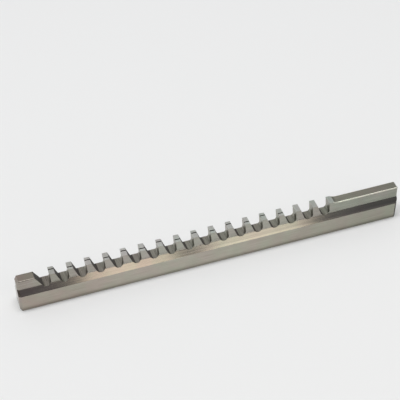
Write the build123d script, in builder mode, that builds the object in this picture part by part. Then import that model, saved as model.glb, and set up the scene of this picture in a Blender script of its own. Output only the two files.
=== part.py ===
from build123d import *
from math import acos, atan2, cos, hypot, pi, radians, sin, sqrt, tan
import os

# Push-type keyway broach: a shouldered bar with a narrow toothed neck on a wide body.
# Lengths run along +X from the pilot (front) to the rear end, heights along +Z.

# Bar section
body_width = 16.0
body_height = 16.0  # vertical side of the body
shoulder_rise = 4.0  # height of the sloped shoulder between the body and the neck
neck_width = 8.0  # equals the width of the keyway

# Pilot and rear part, both plain
pilot_neck_height = 9.0  # pilot top above the foot of the neck
pilot_length = 14.3  # top of the pilot, before the first gullet
rear_length = 61.3  # from the last cutting edge to the rear end
rear_drop = 1.3  # rear top below the full height of the teeth

# Teeth
tooth_count = 17
finishing_teeth = 3  # the last teeth, all of full height and without a chip breaker
tooth_pitch = 14.5
first_gullet_width = 11.9  # from the pilot top to the first cutting edge
first_step = 0.25  # first tooth above the pilot top
total_rise = 1.75  # from the first tooth to full height
land_length = 4.2
land_relief = 2.0  # degrees, falling towards the rear
rake_angle = 5.0  # degrees of hook
gullet_radius = 3.3
gullet_flat = 1.2  # level floor between the two arcs of a gullet
first_undercut = 1.35  # floor of the first gullet below the foot of the neck
floor_rise = 0.9  # from the first gullet floor to the last
runout_radius = 10.0  # wheel run-out from the last land down to the rear top

# Chip breakers
breaker_width = 0.9
breaker_depth = 1.1
breaker_offset = 1.2  # from the middle of the land, sides taken in turn

# Edges
front_chamfer = 1.8
rear_chamfer = 0.9
rear_corner_ledge = 1.0  # width of shoulder left between the neck and a rear corner bevel
bottom_edge_chamfer = 0.8
top_edge_radius = 0.8  # hand-rounded long edges of the two plain tops
clearance = 1.0  # how far cutting shapes stand clear of the bar

rear_corner_bevel = (body_width - neck_width) / 2 - rear_corner_ledge
neck_foot = body_height + shoulder_rise
pilot_top = neck_foot + pilot_neck_height
first_tip_height = pilot_top + first_step
full_tip_height = first_tip_height + total_rise
rear_top = full_tip_height - rear_drop
first_floor = neck_foot - first_undercut
blank_top = full_tip_height + clearance

first_tip = pilot_length + first_gullet_width
overall_length = first_tip + tooth_pitch * (tooth_count - 1) + rear_length
front_x = -overall_length / 2
rear_x = overall_length / 2
roughing_teeth = tooth_count - finishing_teeth
tip_rise = total_rise / roughing_teeth


def tip_position(tooth):
    height = first_tip_height + tip_rise * min(tooth, roughing_teeth)
    return (front_x + first_tip + tooth_pitch * tooth, height)


def land_end(tooth):
    x, z = tip_position(tooth)
    return (x + land_length, z - land_length * tan(radians(land_relief)))


def on_circle(centre, radius, angle):
    return (centre[0] + radius * cos(angle), centre[1] + radius * sin(angle))


def gullet_points(start, tip, gullet_floor):
    # Level floor between two arcs, tangent to the back slope that falls from start and to the rake face
    rake = radians(rake_angle)
    centre_z = gullet_floor + gullet_radius
    centre_x = tip[0] + (tip[1] - centre_z) * tan(rake) - gullet_radius / cos(rake)
    front = (centre_x, centre_z)
    back = (centre_x - gullet_flat, centre_z)
    away = hypot(start[0] - back[0], start[1] - back[1])
    turn = atan2(start[1] - back[1], start[0] - back[0]) + acos(gullet_radius / away)
    back_arc = [on_circle(back, gullet_radius, angle) for angle in (turn, (turn + 1.5 * pi) / 2, 1.5 * pi)]
    front_arc = [on_circle(front, gullet_radius, angle) for angle in (-pi / 2, -(pi / 2 + rake) / 2, -rake)]
    return back_arc, front_arc


with BuildPart() as keyway_broach:
    # Blank: the shouldered section run along the whole length
    with BuildSketch(Plane.YZ.offset(front_x)) as bar_section:
        with BuildLine():
            Polyline(
                (-body_width / 2, 0),
                (body_width / 2, 0),
                (body_width / 2, body_height),
                (neck_width / 2, neck_foot),
                (neck_width / 2, blank_top),
                (-neck_width / 2, blank_top),
                (-neck_width / 2, neck_foot),
                (-body_width / 2, body_height),
                close=True,
            )
        make_face()
    extrude(amount=overall_length)

    # Tooth line: pilot top, then gullet, rake face and relieved land of each tooth, run-out, rear top
    with BuildSketch(Plane.XZ) as tooth_line:
        with BuildLine():
            start = (front_x + pilot_length, pilot_top)
            Line((front_x - clearance, pilot_top), start)
            for tooth in range(tooth_count):
                tip = tip_position(tooth)
                gullet_floor = first_floor + floor_rise * tooth / (tooth_count - 1)
                back_arc, front_arc = gullet_points(start, tip, gullet_floor)
                Line(start, back_arc[0])
                ThreePointArc(*back_arc)
                Line(back_arc[-1], front_arc[0])
                ThreePointArc(*front_arc)
                Line(front_arc[-1], tip)
                start = land_end(tooth)
                Line(tip, start)
            runout_drop = start[1] - rear_top
            runout_run = sqrt(runout_drop * (2 * runout_radius - runout_drop))
            rear_start = (start[0] + runout_run, rear_top)
            RadiusArc(start, rear_start, -runout_radius)
            Polyline(
                rear_start,
                (rear_x + clearance, rear_top),
                (rear_x + clearance, blank_top + clearance),
                (front_x - clearance, blank_top + clearance),
                (front_x - clearance, pilot_top),
            )
        make_face()
    extrude(amount=body_width, both=True, mode=Mode.SUBTRACT)

    # Rear end of the body: both upright corners bevelled
    with BuildSketch(Plane.XY) as rear_corners:
        for side in (-1, 1):
            with BuildLine():
                Polyline(
                    (rear_x, side * body_width / 2),
                    (rear_x - rear_corner_bevel, side * body_width / 2),
                    (rear_x, side * (body_width / 2 - rear_corner_bevel)),
                    close=True,
                )
            make_face()
    extrude(amount=neck_foot, mode=Mode.SUBTRACT)

    # Bevel all round both end faces
    chamfer(faces().sort_by(Axis.X)[0].edges(), length=front_chamfer)
    chamfer(faces().sort_by(Axis.X)[-1].edges(), length=rear_chamfer)

    # Long edges: the two at the bottom are broken, those of the pilot top and the rear top rounded
    with BuildSketch(Plane.YZ.offset(front_x)) as bottom_corners:
        for side in (-1, 1):
            with BuildLine():
                Polyline(
                    (side * body_width / 2, 0),
                    (side * (body_width / 2 - bottom_edge_chamfer), 0),
                    (side * body_width / 2, bottom_edge_chamfer),
                    close=True,
                )
            make_face()
    extrude(amount=overall_length, mode=Mode.SUBTRACT)
    for top in (pilot_top, rear_top):
        top_edges = edges().filter_by(Axis.X).filter_by_position(Axis.Z, top - 0.01, top + 0.01)
        fillet(top_edges, radius=top_edge_radius)

    # Chip breakers: a round-bottomed groove through each roughing land, the side changing every tooth
    for tooth in range(roughing_teeth):
        tip_x, tip_z = tip_position(tooth)
        side = 1 - 2 * (tooth % 2)
        with BuildSketch(Plane.YZ.offset(tip_x - clearance)) as breaker:
            with Locations((side * breaker_offset, tip_z - breaker_depth + breaker_width / 2)):
                Circle(breaker_width / 2)
                Rectangle(breaker_width, breaker_depth + clearance, align=(Align.CENTER, Align.MIN))
        extrude(amount=land_length + 3 * clearance, mode=Mode.SUBTRACT)

os.makedirs("parts", exist_ok=True)
keyway_broach.part.label = "keyway_broach"
export_step(keyway_broach.part, "parts/keyway_broach.step")
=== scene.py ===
import math

import bpy
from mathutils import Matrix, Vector


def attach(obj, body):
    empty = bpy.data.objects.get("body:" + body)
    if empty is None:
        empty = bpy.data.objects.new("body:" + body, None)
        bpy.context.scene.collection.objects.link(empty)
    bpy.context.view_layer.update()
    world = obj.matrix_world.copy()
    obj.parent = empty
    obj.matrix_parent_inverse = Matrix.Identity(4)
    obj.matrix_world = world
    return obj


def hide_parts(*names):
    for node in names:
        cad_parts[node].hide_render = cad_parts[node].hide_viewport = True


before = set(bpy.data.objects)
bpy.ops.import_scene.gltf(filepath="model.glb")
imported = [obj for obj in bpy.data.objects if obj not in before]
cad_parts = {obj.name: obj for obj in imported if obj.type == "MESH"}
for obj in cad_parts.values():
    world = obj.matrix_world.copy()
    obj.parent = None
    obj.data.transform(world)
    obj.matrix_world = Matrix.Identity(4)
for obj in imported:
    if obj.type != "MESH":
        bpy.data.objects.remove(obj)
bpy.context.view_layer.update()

# Camera. It looks down on the broach at 44 degrees, from in front and nearer the pilot end.
# A long lens about a metre away draws the bar with little perspective.
camera_tilt = math.radians(46)  # up from looking straight down
camera_turn = math.radians(-19.13)  # towards the rear end

bpy.ops.object.select_all(action="DESELECT")
bpy.ops.object.camera_add(
    location=(-0.2322, -0.6385, 0.7183), rotation=(camera_tilt, 0, camera_turn)
)
camera = bpy.context.object
camera.name = "camera"
camera.data.sensor_width = 36
camera.data.lens = 110.12
camera.data.clip_start = 0.05
camera.data.clip_end = 20
bpy.context.scene.camera = camera

# Keyway broach. One bar of hardened high-speed steel, its toothed neck and its body in one piece.
# The flats were surface ground lengthwise, the gullets were ground across by a shaped wheel,
# and the outer edges were then broken by hand with a stone.
MM = 0.001
EDGE_ROUND = 0.16 * MM  # about what a stone leaves on a hardened edge
SHARP = math.radians(32)  # what turns more than this is an edge, and less is a curve

# Places on the bar, in millimetres: x along it from the middle, z up from the underside
BAR_END = 160
END_BEVELS = 156  # the bevels of both ends lie beyond this
FIRST_GULLET, SECOND_GULLET = -145.5, -140
LAST_LAND = 102
BODY_TOP = 16
GULLETS_BOTTOM = 19  # the backs of the teeth lie above this
NECK_FOOT = 20
LANDS_BOTTOM = 27.5  # lands and chip breakers lie above this
TOP_EDGES = 28  # the rounded edges of the two plain tops lie above this
BREAKER_REACH = 2.2  # the chip breakers lie this near the middle plane

LINE_CONTRAST = (0.45, 0.90)  # span of the pattern over which dark steel turns to light
CLOUD_SIZE = 14 * MM
CLOUD_SHARE = 0.35  # part that the clouds have in the tone, against the lines


def linear(hex_colour):
    """A colour written as sRGB hex, as the linear RGBA that Blender wants."""
    parts = [int(hex_colour[i:i + 2], 16) / 255 for i in (1, 3, 5)]
    return (*(c / 12.92 if c <= 0.04045 else ((c + 0.055) / 1.055) ** 2.4 for c in parts), 1.0)


def add_node(owner, kind, settings=None, values=None, links=None):
    """Adds a node to a material or world, with its settings, input values and linked inputs.

    Inputs go by name, or by number where a node has several of one name.
    """
    made = owner.node_tree.nodes.new(kind)
    for name, value in (settings or {}).items():
        setattr(made, name, value)
    for name, value in (values or {}).items():
        made.inputs[name].default_value = value
    for name, socket in (links or {}).items():
        owner.node_tree.links.new(socket, made.inputs[name])
    return made


def ground_steel(
    name, dark, light, line_spacing, line_length, lines_along, roughness, depth, metallic=1.0
):
    """Steel left by a grinding wheel: fine lines one way, with painted shade low on the sides and
    a painted highlight along the edge of the shoulder.
    """
    material = bpy.data.materials.new(name)
    material.use_nodes = True
    material.node_tree.nodes.clear()
    place = add_node(material, "ShaderNodeTexCoord")
    reach = add_node(
        material, "ShaderNodeSeparateXYZ", links={"Vector": place.outputs["Object"]}
    )
    bar_length = add_node(
        material, "ShaderNodeMapRange",
        values={"From Min": -BAR_END * MM, "From Max": BAR_END * MM},
        links={"Value": reach.outputs["X"]},
    )
    height = add_node(
        material, "ShaderNodeMapRange",
        values={"From Min": 0.0, "From Max": NECK_FOOT * MM},
        links={"Value": reach.outputs["Z"]},
    )

    # Grinding lines, drawn out along one way, on steel that is cloudy from handling
    across, along = 1 / line_spacing, 1 / line_length
    stretch = {"X": (along, across, across), "Y": (across, along, across)}[lines_along]
    line_place = add_node(
        material, "ShaderNodeMapping",
        values={"Scale": stretch}, links={"Vector": place.outputs["Object"]},
    )
    lines = add_node(
        material, "ShaderNodeTexNoise",
        values={"Scale": 1.0, "Detail": 3.0, "Roughness": 0.6},
        links={"Vector": line_place.outputs["Vector"]},
    )
    clouds = add_node(
        material, "ShaderNodeTexNoise",
        values={"Scale": 1 / CLOUD_SIZE, "Detail": 2.0, "Roughness": 0.5},
        links={"Vector": place.outputs["Object"]},
    )
    tone = add_node(
        material, "ShaderNodeMath",
        settings={"operation": "MULTIPLY_ADD"}, values={1: CLOUD_SHARE},
        links={0: clouds.outputs["Fac"], 2: lines.outputs["Fac"]},
    )
    colour = add_node(material, "ShaderNodeValToRGB", links={"Fac": tone.outputs["Value"]})
    for stop, position, steel in zip(colour.color_ramp.elements, LINE_CONTRAST, (dark, light)):
        stop.position = position
        stop.color = linear(steel)

    # Three thin layers over the steel, each multiplied on: a tone along the bar, warm at the
    # front and darker toward the rear; faint cool and warm clouds; and painted shade on the
    # lowest few millimetres of the sides, the shadow where the bar meets the floor, as the sides
    # mirror it
    # Warm at the front and darker toward the rear, set by the place along the bar
    tone_along_bar = ((0.0, "#f0e8e6"), (0.35, "#fffefc"), (0.7, "#f6f7f3"), (1.0, "#dbdeda"))
    tint = ((0.38, "#fff9fb"), (0.62, "#f7fcf8"))
    # Painted shade: the contact shadow, darkest at the bottom of the sides
    painted_contact_shade = (
        (2.4 / NECK_FOOT, "#d9d9d7"), (3.6 / NECK_FOOT, "#f2f2f0"), (5.6 / NECK_FOOT, "#ffffff")
    )
    layered_colour = colour.outputs["Color"]
    for source, stops in (
        (bar_length.outputs["Result"], tone_along_bar),
        (clouds.outputs["Color"], tint),
        (height.outputs["Result"], painted_contact_shade),
    ):
        layer = add_node(material, "ShaderNodeValToRGB", links={"Fac": source})
        first, last = layer.color_ramp.elements
        first.position, first.color = stops[0][0], linear(stops[0][1])
        last.position, last.color = stops[-1][0], linear(stops[-1][1])
        for position, shade in stops[1:-1]:
            layer.color_ramp.elements.new(position).color = linear(shade)
        layered_colour = add_node(
            material, "ShaderNodeMix",
            settings={"data_type": "RGBA", "blend_type": "MULTIPLY"}, values={0: 1.0},
            links={6: layered_colour, 7: layer.outputs["Color"]},
        ).outputs[2]

    # Painted highlight: a pale line painted along the edge of the shoulder where it catches the
    # light, most on the rear half, and a fainter one along the foot of the neck
    painted_edge_highlight = add_node(material, "ShaderNodeValToRGB", links={"Fac": height.outputs["Result"]})
    for z, strength in (
        (15.94, 0.0), (16.04, 0.17), (16.7, 0.17), (17.3, 0.0), (18.3, 0.0), (19.0, 0.04)
    ):
        stop = painted_edge_highlight.color_ramp.elements.new(z / NECK_FOOT)
        stop.color = (strength, strength, strength, 1.0)
    painted_edge_highlight.color_ramp.elements[-1].color = (0.0, 0.0, 0.0, 1.0)
    rear_half = add_node(
        material, "ShaderNodeMapRange",
        values={"From Min": -30 * MM, "From Max": 20 * MM, "To Min": 0.2},
        links={"Value": reach.outputs["X"]},
    )
    highlight_strength = add_node(
        material, "ShaderNodeMath", settings={"operation": "MULTIPLY"},
        links={0: painted_edge_highlight.outputs["Color"], 1: rear_half.outputs["Result"]},
    )
    highlighted = add_node(
        material, "ShaderNodeMix",
        settings={"data_type": "RGBA"}, values={7: linear("#fff6e0")},
        links={0: highlight_strength.outputs["Value"], 6: layered_colour},
    )

    gloss = add_node(
        material, "ShaderNodeMapRange",
        values={"From Min": 0.3, "From Max": 0.7, "To Min": roughness[0], "To Max": roughness[1]},
        links={"Value": lines.outputs["Fac"]},
    )
    relief = add_node(
        material, "ShaderNodeBump",
        values={"Strength": 1.0, "Distance": depth}, links={"Height": lines.outputs["Fac"]},
    )
    shader = add_node(
        material, "ShaderNodeBsdfPrincipled",
        values={"Metallic": metallic, "Specular IOR Level": 0.5 if metallic else 0.1},
        links={
            "Base Color": highlighted.outputs[2],
            "Roughness": gloss.outputs["Result"],
            "Normal": relief.outputs["Normal"],
        },
    )
    add_node(material, "ShaderNodeOutputMaterial", links={"Surface": shader.outputs["BSDF"]})
    return material


# Surface-ground flats: smooth, with lines along the bar. They are drawn at 0.5 mm, and those of
# the other finishes about as coarse, because the real ones of 0.05 mm can't show
flat_steel = ground_steel(
    "surface_ground_high_speed_steel", dark="#aaa69c", light="#c3bfb5",
    line_spacing=0.5 * MM, line_length=25 * MM, lines_along="X",
    roughness=(0.09, 0.14), depth=0.0004 * MM,
)
# Form-ground gullets: coarser lines across the neck, and a greyer, duller surface.
# The rounded edges of the pilot are as dull
gullet_steel = ground_steel(
    "form_ground_gullet_steel", dark="#8c8b84", light="#b0aea5",
    line_spacing=0.45 * MM, line_length=12 * MM, lines_along="Y",
    roughness=(0.26, 0.36), depth=0.004 * MM,
)
# Chip-breaker grooves: cut by a thin wheel and dull. Their dark colour is painted shade, the
# shade that falls into the narrow grooves
painted_shade_steel = ground_steel(
    "thin_wheel_cut_painted_shade_steel", dark="#4a4642", light="#5c5751",
    line_spacing=0.3 * MM, line_length=6 * MM, lines_along="X",
    roughness=(0.45, 0.55), depth=0.01 * MM,
)
# Lands: backed off by hand stoning, so they scatter light and look paler than the flats
land_steel = ground_steel(
    "stoned_land_steel", dark="#b8bab8", light="#cfd2cf",
    line_spacing=0.4 * MM, line_length=8 * MM, lines_along="Y",
    roughness=(0.42, 0.50), depth=0.002 * MM,
)
# Backs of the teeth and rear corner bevels: dull, dark and not metallic. This is a painted
# reflection:
# the dark surroundings that these faces mirror are painted into their colour
dark_reflection_steel = ground_steel(
    "painted_dark_reflection_steel", dark="#434140", light="#54514e",
    line_spacing=0.5 * MM, line_length=10 * MM, lines_along="Y",
    roughness=(0.55, 0.65), depth=0.005 * MM, metallic=0.0,
)
# Flanks of the neck: ground with a coarser wheel before the body, so a shade darker
flank_steel = ground_steel(
    "coarse_ground_flank_steel", dark="#a19f98", light="#bcbab3",
    line_spacing=0.6 * MM, line_length=18 * MM, lines_along="X",
    roughness=(0.16, 0.24), depth=0.001 * MM,
)
# Rounded edges of the rear top: drawn over with a stone, so their highlight is broad and soft.
# Their near-white colour is a painted highlight, brighter than the steel itself reflects
edge_highlight_steel = ground_steel(
    "stoned_edge_painted_highlight_steel", dark="#f2eee2", light="#fffcf2",
    line_spacing=0.5 * MM, line_length=10 * MM, lines_along="X",
    roughness=(0.38, 0.46), depth=0.001 * MM,
)
finishes = [
    flat_steel, gullet_steel, painted_shade_steel, land_steel, dark_reflection_steel, flank_steel, edge_highlight_steel
]

# The dressed bar is a copy of the solid, with the loose triangles merged into whole faces
bpy.ops.object.select_all(action="DESELECT")
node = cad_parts["keyway_broach"]
broach = node.copy()
broach.data = node.data.copy()
broach.name = "ground_broach"
bpy.context.scene.collection.objects.link(broach)
broach.select_set(True)
bpy.context.view_layer.objects.active = broach
broach.data.materials.clear()
for finish in finishes:
    broach.data.materials.append(finish)

bpy.ops.object.mode_set(mode="EDIT")
bpy.ops.mesh.customdata_custom_splitnormals_clear()
bpy.ops.mesh.select_all(action="SELECT")
bpy.ops.mesh.remove_doubles(threshold=0.002 * MM)
bpy.ops.mesh.dissolve_limited(angle_limit=math.radians(0.5))
bpy.ops.object.mode_set(mode="OBJECT")


def finish_of(face):
    """The finish that the wheel or stone left on this face, by where it lies and how it faces."""
    x, y, z = face.center / MM
    along, across, up = face.normal
    if FIRST_GULLET < x < LAST_LAND:
        # The painted dark reflection reaches down into each gullet, but in the first one it ends
        # with the slope
        back_slope = 0.25 if x > SECOND_GULLET else 0.5
        if abs(along) < 0.02 and abs(y) < BREAKER_REACH and z > LANDS_BOTTOM:
            return painted_shade_steel
        if up > 0.9 and z > LANDS_BOTTOM:
            return land_steel
        if along > back_slope and z > GULLETS_BOTTOM:
            return dark_reflection_steel
        if abs(across) < 0.2:
            return gullet_steel
    if x > END_BEVELS and 0.3 < along < 0.98 and z < GULLETS_BOTTOM:
        return dark_reflection_steel
    # The front bevel of the shoulder gets the same painted dark colour as the grooves
    if x < -END_BEVELS and along < -0.3 and BODY_TOP < z < NECK_FOOT + 1 and up > 0.3:
        return painted_shade_steel
    if z > NECK_FOOT and abs(across) > 0.98 or abs(along) > 0.3 and abs(x) > END_BEVELS:
        return flank_steel
    if z > TOP_EDGES and abs(across) > 0.1 and up > 0.1:
        return edge_highlight_steel if x > 0 else gullet_steel
    return flat_steel


for face in broach.data.polygons:
    face.material_index = finishes.index(finish_of(face))

# The modifier lets no two rounds overlap. Very short edges at the wheel run-out and in the chip
# breakers hold every round to 0.005 mm, so the edges stay nearly as crisp as the solid's
bevel = broach.modifiers.new("broken_edges", "BEVEL")
bevel.width = EDGE_ROUND
bevel.segments = 2
bevel.limit_method = "ANGLE"
bevel.angle_limit = SHARP
bpy.ops.object.modifier_apply(modifier=bevel.name)
bpy.ops.object.shade_smooth_by_angle(angle=SHARP)
weighted = broach.modifiers.new("flat_faces_stay_flat", "WEIGHTED_NORMAL")
weighted.keep_sharp = True
bpy.ops.object.modifier_apply(modifier=weighted.name)

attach(broach, "root")
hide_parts("keyway_broach")

# Floor. A plain, matt white board that the bar lies on.
# It is wide enough to fill the view, and only takes the soft shadow.
bpy.ops.object.select_all(action="DESELECT")
bpy.ops.mesh.primitive_plane_add(size=6, location=(0, 0, 0))
floor = bpy.context.object
floor.name = "floor"
white_board = bpy.data.materials.new("matt_white_board")
white_board.use_nodes = True
white_board.node_tree.nodes.clear()
board = add_node(
    white_board, "ShaderNodeBsdfPrincipled",
    values={"Base Color": linear("#eeefee"), "Roughness": 0.9, "Specular IOR Level": 0.0},
)
add_node(white_board, "ShaderNodeOutputMaterial", links={"Surface": board.outputs["BSDF"]})
floor.data.materials.append(white_board)

# Light. A large soft lamp overhead, two softboxes beside the camera that the shoulder mirrors,
# and a small rim lamp for the rounded rear edge. The softboxes are a little warm.
LAMP_HEIGHT = 2.6
SOFTBOX_DISTANCE, SOFTBOX_HEIGHT = -0.8, 0.735


def soft_lamp(name, location, target, size, radiance, colour):
    """A flat lamp of this size in metres, aimed at the target, that shows this radiance."""
    bpy.ops.object.light_add(type="AREA", location=location)
    lamp = bpy.context.object
    lamp.name = name
    lamp.data.shape = "RECTANGLE"
    lamp.data.size, lamp.data.size_y = size
    lamp.data.energy = radiance * math.pi * size[0] * size[1]
    lamp.data.color = linear(colour)[:3]
    aim = Vector(target) - Vector(location)
    lamp.rotation_euler = aim.to_track_quat("-Z", "Y").to_euler()
    return lamp


soft_lamp(
    "overhead_lamp", location=(-0.8, 0.07, LAMP_HEIGHT), target=(-0.8, 0.07, 0),
    size=(3.0, 0.86), radiance=5.4, colour="#ffffff",
)
rim_lamp = soft_lamp(
    "rim_lamp", location=(1.0, 0.05, LAMP_HEIGHT), target=(1.0, 0.05, 0),
    size=(0.7, 0.5), radiance=12.5, colour="#ffffff",
)
rim_lamp.data.use_shadow = False  # it only lights the edge, and the floor keeps one soft shadow
soft_lamp(
    "left_softbox", location=(0.1115, SOFTBOX_DISTANCE, SOFTBOX_HEIGHT), target=(0.1115, 0, 0),
    size=(0.160, 0.5), radiance=1.22, colour="#fff4e4",
)
soft_lamp(
    "right_softbox", location=(0.340, SOFTBOX_DISTANCE, SOFTBOX_HEIGHT), target=(0.340, 0, 0),
    size=(0.190, 0.5), radiance=1.15, colour="#fffbed",
)

# Room. A dim studio for the steel to mirror: darker and a little cooler on the camera's side,
# lighter behind the bar, and with a pale band all round just above the floor.
room = bpy.data.worlds.new("room")
bpy.context.scene.world = room
room.use_nodes = True
room.node_tree.nodes.clear()
direction = add_node(room, "ShaderNodeTexCoord")
axes = add_node(room, "ShaderNodeSeparateXYZ", links={"Vector": direction.outputs["Generated"]})
behind = add_node(
    room, "ShaderNodeMapRange",
    values={"From Min": -0.2, "From Max": 0.5}, links={"Value": axes.outputs["Y"]},
)
upper_walls = add_node(
    room, "ShaderNodeMix", settings={"data_type": "RGBA"},
    values={6: linear("#6f6d75"), 7: linear("#c2c2c2")}, links={0: behind.outputs["Result"]},
)
pale_band = add_node(
    room, "ShaderNodeMapRange",
    values={"From Min": 0.12, "From Max": 0.25, "To Min": 0.84, "To Max": 0.25},
    links={"Value": axes.outputs["Z"]},
)
how_high = add_node(
    room, "ShaderNodeMapRange",
    values={"From Min": 0.25, "From Max": 0.5}, links={"Value": axes.outputs["Z"]},
)
all_walls = add_node(
    room, "ShaderNodeMix", settings={"data_type": "RGBA"},
    links={
        0: how_high.outputs["Result"],
        6: pale_band.outputs["Result"],
        7: upper_walls.outputs[2],
    },
)
walls = add_node(room, "ShaderNodeBackground", links={"Color": all_walls.outputs[2]})
add_node(room, "ShaderNodeOutputWorld", links={"Surface": walls.outputs["Background"]})

bpy.context.scene.view_settings.view_transform = "Standard"
